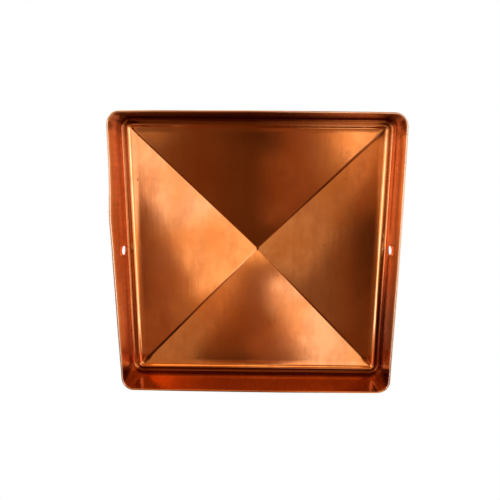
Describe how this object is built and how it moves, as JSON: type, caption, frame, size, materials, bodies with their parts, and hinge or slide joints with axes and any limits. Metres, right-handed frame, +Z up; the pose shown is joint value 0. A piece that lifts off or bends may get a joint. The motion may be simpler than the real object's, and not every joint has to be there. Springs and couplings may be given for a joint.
{
  "type": "fence post cap",
  "caption": "Low pyramid cap in bright copper for a square wooden fence post, with a shallow skirt, a narrow inner ledge and opposed screw holes.",
  "frame": {"origin": "centre of the open rim, on the plane that the rim stands on", "axes": "+Z up to the point of the pyramid; the screw holes are in the -X and +X sides"},
  "size_m": [0.0952, 0.0952, 0.0241],
  "materials": {
    "copper_sheet": "bright rolled copper, lightly handled, satin to mirror, with draw lines in the corners"
  },
  "bodies": {
    "root": {"cap_shell": "copper_sheet"}
  },
  "joints": []
}
